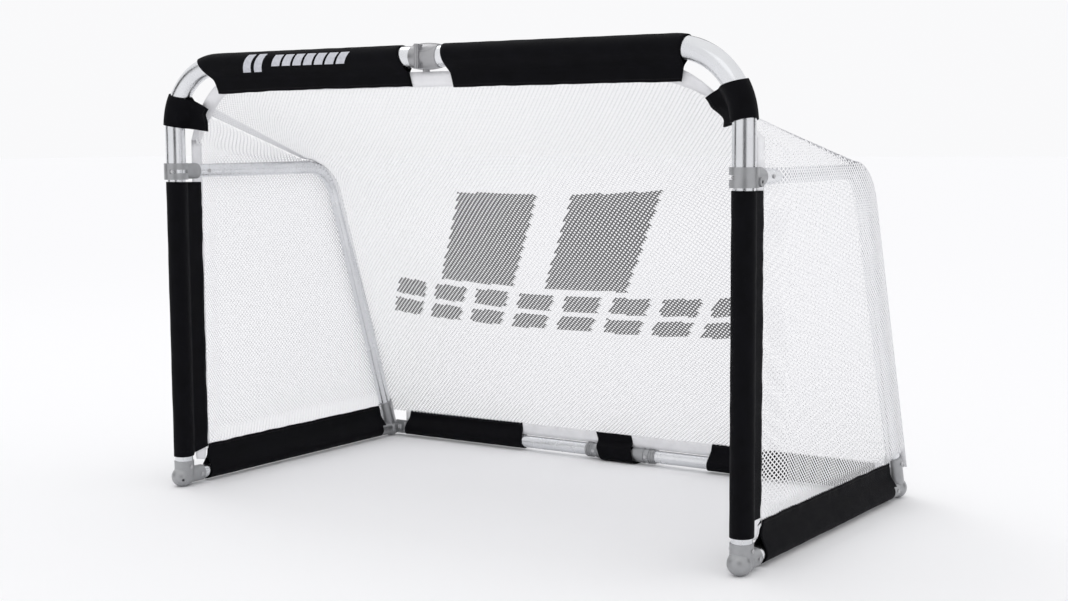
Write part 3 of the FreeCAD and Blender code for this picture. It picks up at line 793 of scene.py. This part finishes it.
# How far in from the sides the pull of the arms reaches, on the roof and on the back.
PULL_REACH = (0.36, 0.21)
# Height of the rear edge, between the layers of the rear sleeves' flaps.
REAR_EDGE_Z = 0.056


def corner_share(x):
    """0 along the middle of the front edge, and from there up to 1 at the posts."""
    return max(0.0, abs(x) - EDGE_START) / (SPAN - EDGE_START)


def top_edge(x):
    """Depth and height of the cloth's front edge, which rounds the corners behind the bends."""
    turn = corner_share(x)
    return 0.003 + 0.050 * turn ** 1.3, NET_TOP_Z - 0.098 * turn ** 1.7


def side_profile(share):
    """Depth and height of the cloth's edge at the side: out to the arm's bend and down its leg."""
    start = top_edge(FRONT_HALF)
    radius = ARM_BEND + THIN_RADIUS + NET_GAP
    centre = (ARM_BEND_DEPTH, ARM_Z - ARM_BEND)
    crown = (centre[0], centre[1] + radius)
    first = math.dist(start, crown)
    arc = radius * ARM_LEAN
    foot = math.pi / 2 - ARM_LEAN
    leg_start = (centre[0] + radius * math.cos(foot), centre[1] + radius * math.sin(foot))
    leg = (leg_start[1] - REAR_EDGE_Z) / math.sin(ARM_LEAN)
    way = share * (first + arc + leg)
    if way < first:
        return tuple(lerp(a, b, way / first) for a, b in zip(start, crown))
    if way < first + arc:
        angle = math.pi / 2 - (way - first) / radius
        return centre[0] + radius * math.cos(angle), centre[1] + radius * math.sin(angle)
    way -= first + arc
    return leg_start[0] + way * math.cos(ARM_LEAN), leg_start[1] - way * math.sin(ARM_LEAN)


def rear_sway(x):
    """What the rear sleeves' flaps do to the net's edge between their layers."""
    return flap_sway(abs(x), REAR_SEED + (x > 0)) * smooth(abs(x), 0.17, 0.22)


def net_point(x, v):
    """A point of the roof and back: straight down the middle, held out by the arms at the sides."""
    share = v / NET_LENGTH
    narrow = FRONT_HALF / SPAN
    depth, z = (lerp(a, b, share) for a, b in zip(top_edge(x * narrow), (REAR, REAR_EDGE_Z)))
    straight = [lerp(a, b, share) for a, b in zip(top_edge(FRONT_HALF), (REAR, REAR_EDGE_Z))]
    held = side_profile(share)
    reach = lerp(*PULL_REACH, smooth(share, 0.25, 0.55))
    pull = math.cosh(x / reach) / math.cosh(SPAN / reach)
    depth += pull * (held[0] - straight[0])
    z += pull * (held[1] - straight[1])
    slack = math.sin(math.pi * share) * (1 - (x / SPAN) ** 2)
    ripple = 0.004 * wavy(x * 5, share * 3, 1.7) * slack
    depth += ripple * 0.75
    z += ripple * 0.66 - 0.004 * slack
    wide = x * lerp(narrow, 1 + OUTER_X / SPAN, min(1.0, share / WIDE_SHARE))
    return at(wide, depth - rear_sway(x) * smooth(share, 0.97, 1.0), z)


# The net's print, in metres of cloth from the front edge and from the middle: how far it leans
# to the side and bows to the rear, the bars' top, length and edges, and the dashes' top, left end,
# rows, pitch, printed share of the pitch, and number.
INK_LEAN, INK_MIDDLE, INK_BOW = 0.62, 0.43, 0.18
BAR_TOP, BAR_TALL = 0.322, 0.208
BAR_EDGES = ((-0.19, -0.02), (0.05, 0.22))
DASH_TOP, DASH_LEFT = 0.546, -0.30
DASH_ROWS = ((0, 0.043), (0.057, 0.095))
DASH_PITCH, DASH_SHARE, DASHES = 0.1, 0.74, 8


def printed(x, v):
    """The net's print: two leaning bars over two rows of leaning dashes."""
    lean = x + INK_LEAN * (v - INK_MIDDLE)
    v -= INK_BOW * x * x
    if BAR_TOP < v < BAR_TOP + BAR_TALL:
        return any(low < lean < high for low, high in BAR_EDGES)
    if any(low < v - DASH_TOP < high for low, high in DASH_ROWS):
        dash = (lean - DASH_LEFT) / DASH_PITCH
        return 0 < dash < DASHES and dash % 1 < DASH_SHARE
    return False


def lattice(name, point, columns, rows, inside, ink=None):
    """Knitted mesh: flat strands on the slant, joined in small knots at every crossing.

    point places a spot of the cloth, inside says where cloth is, and ink where it is printed."""
    points, faces, indices, knots = [], [], [], {}
    for i in range(columns[0], columns[1] + 1):
        for j in range(rows[0], rows[1] + 1):
            u, v = i * CELL, j * CELL
            if (i + j) % 2 or not inside(u, v):
                continue
            knots[i, j] = len(points)
            half = INK_KNOT_HALF if ink and ink(u, v) else KNOT_HALF
            points += [point(u + du, v + dv)
                       for du, dv in ((half, 0), (0, half), (-half, 0), (0, -half))]
    for (i, j), base in knots.items():
        dark = 1 if ink and ink(i * CELL, j * CELL) else 0
        faces.append((base, base + 1, base + 2, base + 3))
        indices.append(dark)
        after = knots.get((i + 1, j + 1))
        if after is not None:
            faces.append((base, after + 3, after + 2, base + 1))
            indices.append(dark)
        before = knots.get((i - 1, j + 1))
        if before is not None:
            faces.append((base + 1, before, before + 3, base + 2))
            indices.append(dark)
    return mesh_object(name, points, faces, [STRAND, INK_STRAND], indices=indices)


def ribbon(name, lines, material, thickness):
    """A tape between matching lines of points. Returns it with its flat size."""
    rows, columns = len(lines[0]), len(lines)
    points = [lines[j][i] for i in range(rows) for j in range(columns)]
    faces = [(i * columns + j, i * columns + j + 1, (i + 1) * columns + j + 1,
              (i + 1) * columns + j) for i in range(rows - 1) for j in range(columns - 1)]
    along, across = [0.0], [0.0]
    for i in range(1, rows):
        along.append(along[-1] + (lines[0][i] - lines[0][i - 1]).length)
    for j in range(1, columns):
        across.append(across[-1] + (lines[j][0] - lines[j - 1][0]).length)
    places = [(along[i], across[j]) for i in range(rows) for j in range(columns)]
    made = mesh_object(name, points, faces, [material], places)
    thicken(made, thickness)
    return made, (across[-1], along[-1])


def folds_with_net(thing):
    """Rides on the left side, on a mesh of its own."""
    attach(thing, "left_side")
    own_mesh(thing)


def make_main_net():
    columns = round(SPAN / CELL)
    rows = round(NET_LENGTH / CELL)
    net = lattice("main_net_mesh", net_point, (-columns, columns), (0, rows),
                  lambda x, v: abs(x) <= SPAN, printed)
    tapes = [make_mouth_tape()]
    tapes += [make_roof_seam(side, sign) for side, sign in SIDES.items()]
    tapes.append(make_rear_hem())
    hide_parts("main_net")
    folds_with_net(net)
    for tape in tapes:
        folds_with_net(tape)


def make_roof_seam(side, sign):
    """Tape along the cloth's side edge, from the mouth over the arm's bend to the rear bar."""
    steps = 90
    above = Vector((0, 0.0006, 0.0006))
    lines = [[net_point(sign * (SPAN - inset), NET_LENGTH * i / steps) + above
              for i in range(steps + 1)] for inset in (0.0, 0.006, 0.012, 0.018)]
    return ribbon(f"{side}_roof_seam", lines, TAPE, 0.0008)[0]


def make_rear_hem():
    """Tape along the cloth's rear edge."""
    half, steps = 0.548, 120
    across = [lerp(-half, half, i / steps) for i in range(steps + 1)]
    lines = [[at(x, REAR - rear_sway(x) * smooth(z, 0.036, 0.056), z) for x in across]
             for z in (0.0325, 0.041, 0.050, 0.0562)]
    return ribbon("rear_hem_tape", lines, TAPE, 0.0011)[0]


MOUTH_TAPE_HALF = 0.0125
MOUTH_TAPE_FOOT = 0.070


def make_mouth_tape():
    """White binding along the net's front edge: up one post, along the crossbar, down the other."""
    depth, corner_z = top_edge(SPAN)
    forward = Vector((0, -1, 0))
    rises, spans = 40, 220
    heights = [lerp(MOUTH_TAPE_FOOT, corner_z, i / rises) for i in range(rises)]
    stations = [(at(-SPAN, depth, z), forward) for z in heights]
    for i in range(spans + 1):
        x = SPAN * math.sin(lerp(-math.pi / 2, math.pi / 2, i / spans))
        turn = corner_share(x)
        ahead = at(x + 0.001, *top_edge(x + 0.001)) - at(x - 0.001, *top_edge(x - 0.001))
        upward = Vector((-ahead.z, 0, ahead.x)).normalized()
        outward = (upward * (1 - turn) + forward * turn).normalized()
        stations.append((at(x, *top_edge(x)), outward))
    stations += [(at(SPAN, depth, z), forward) for z in reversed(heights)]

    def station_point(place, outward, share):
        stray = 0.0015 * wavy(place.x * 9, place.z * 9, share)
        return place + outward * MOUTH_TAPE_HALF * share + Vector((0, stray, 0))

    lines = [[station_point(place, outward, share) for place, outward in stations]
             for share in (1.0, 0.33, -0.33, -1.0)]
    return ribbon("mouth_tape", lines, TAPE, 0.0011)[0]


# Side nets: the edge that they share with the roof and back, their lower edge, their front edge
# below and above the collar, and the height where they start to lean in at the front.
SIDE_PROFILE = [side_profile(i / 200) for i in range(201)]
SIDE_BOTTOM = 0.056
SIDE_FRONT, SIDE_FRONT_TOP = 0.048, 0.031
LEAN_IN_Z = 0.640
# How far the side nets' mesh is laid out, in depth and height, before it is cut to shape.
SIDE_REACH = (0.66, 0.71)


def seam(depth):
    """The roof seam's x and height at a depth, and the height where the side leans in to it."""
    front_depth, front_z = top_edge(FRONT_HALF)
    share = min(1.0, max(0.0, (depth - front_depth) / (ARM_BEND_DEPTH - front_depth)))
    top = lerp(front_z, ARM_Z + THIN_RADIUS + NET_GAP, share)
    return lerp(FRONT_HALF, SPAN + OUTER_X, share), top, lerp(LEAN_IN_Z, ARM_Z, share)


def side_point(sign):
    """Places the side net: in the flaps of the post's and the base's sleeves, outside the arm."""
    number = int(sign > 0)

    def point(depth, z):
        behind_post = smooth(depth, 0.062, 0.125)
        out = OUTER_X * behind_post * smooth(z, 0.066, 0.098)
        out -= flap_sway(depth, BASE_SEED + number) * (1 - smooth(z, 0.070, 0.098))
        out -= flap_sway(z, POST_SEED + number) * (1 - behind_post)
        ripple = 0.002 * wavy(depth * 8, z * 6, 4.4 * sign) * smooth(depth, 0.1, 0.2)
        ripple *= smooth(z, 0.075, 0.16)
        leg = ARM_BEND_DEPTH + (ARM_Z - z) / math.tan(ARM_LEAN)
        ripple *= smooth(leg - depth, 0.03, 0.12) * smooth(ARM_Z - z, 0.03, 0.12)
        seam_x, seam_z, low = seam(depth)
        return at(sign * lerp(SPAN + out + ripple, seam_x, smooth(z, low, seam_z)), depth, z)
    return point


def inside_side(depth, z):
    """True where the side net has cloth: behind the post, under the roof's seam, above the tube."""
    front = lerp(SIDE_FRONT, SIDE_FRONT_TOP, smooth(z, LEAN_IN_Z, LEAN_IN_Z + 0.050))
    if depth < front or z < SIDE_BOTTOM or z > top_edge(FRONT_HALF)[1]:
        return False
    for (d0, z0), (d1, z1) in zip(SIDE_PROFILE, SIDE_PROFILE[1:]):
        if d0 <= depth <= d1:
            return z <= lerp(z0, z1, (depth - d0) / max(1e-9, d1 - d0))
    return depth < SIDE_PROFILE[0][0]


def make_side_nets():
    area = sum((b[0] - a[0]) * ((a[1] + b[1]) / 2 - SIDE_BOTTOM)
               for a, b in zip(SIDE_PROFILE, SIDE_PROFILE[1:]))
    columns, rows = (round(reach / CELL) for reach in SIDE_REACH)
    for side, sign in SIDES.items():
        net = lattice(f"{side}_side_mesh", side_point(sign), (0, columns), (0, rows), inside_side)
        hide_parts(f"{side}_side_net")
        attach(net, f"{side}_side")


def make_foot_tabs():
    """White webbing that shows between the post's sleeve and the ground tube's sleeve."""
    steps = 8
    for side, sign in SIDES.items():
        lines = []
        for share in (0.0, 0.35, 0.7, 1.0):
            upper = at(sign * (SPAN + 0.001), lerp(0.034, 0.060, share), 0.074)
            lower = at(sign * (SPAN - 0.002), lerp(0.031, 0.052, share), 0.046 - 0.004 * share)
            bulge = Vector((sign * 0.003 * (1 - share), 0, 0.001))
            lines.append([lerp(upper, lower, i / steps) + bulge * math.sin(math.pi * i / steps)
                          for i in range(steps + 1)])
        tab, flat = ribbon(f"{side}_foot_tape", lines, TAPE, 0.0016)
        finish_sheet(tab, flat, f"{side}_foot_tab", f"{side}_side")


# ---- print on the crossbar sleeve --------------------------------------------------------------
# Marks: distance from the crossbar's middle, width, and lower and upper edge from its axis.
BAR_MARKS = ((0.368, 0.018, -0.016, 0.016), (0.342, 0.018, -0.016, 0.016))
DASH_MARKS = tuple((0.300 - 0.0245 * k, 0.019, -0.006, 0.013) for k in range(7))
PRINT_LEAN = 0.9
PRINT_LIFT = 0.0002


def make_print(wrap):
    """Leaning marks on the front of the left crossbar sleeve: two tall bars and a row of dashes."""
    lengths = [0.0]
    for a, b in zip(wrap.outline, wrap.outline[1:]):
        lengths.append(lengths[-1] + math.dist(a, b))
    level = lengths[min(range(len(wrap.outline) // 2), key=lambda k: abs(wrap.outline[k][1]))]
    start = wrap.start(0.3)
    full = wrap.end(0.3) - start

    def place(x, height):
        """A point at a distance from the middle of the bar and a height above its axis."""
        way = level + height
        j = next(k for k in range(1, len(lengths)) if lengths[k] >= way)
        column = j - 1 + (way - lengths[j - 1]) / (lengths[j] - lengths[j - 1])
        row = (x - PRINT_LEAN * height - BEND_X - start) / full * wrap.rows
        return wrap.point(row, column, CLOTH / 2 + PRINT_LIFT)

    points, faces = [], []
    across, tall = 6, 12
    for x, width, low, high in (*BAR_MARKS, *DASH_MARKS):
        base = len(points)
        points += [place(x + width * b / across, lerp(low, high, a / tall))
                   for a in range(tall + 1) for b in range(across + 1)]
        for a in range(tall):
            for b in range(across):
                k = base + a * (across + 1) + b
                faces.append((k, k + 1, k + across + 2, k + across + 1))
    made = mesh_object("crossbar_print", points, faces, [PRINT])
    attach(made, "left_top")


dress_nodes()
bar_sleeves = make_sleeves()
make_bands()
make_centre_wrap()
make_main_net()
make_side_nets()
make_foot_tabs()
make_print(bar_sleeves["left"])
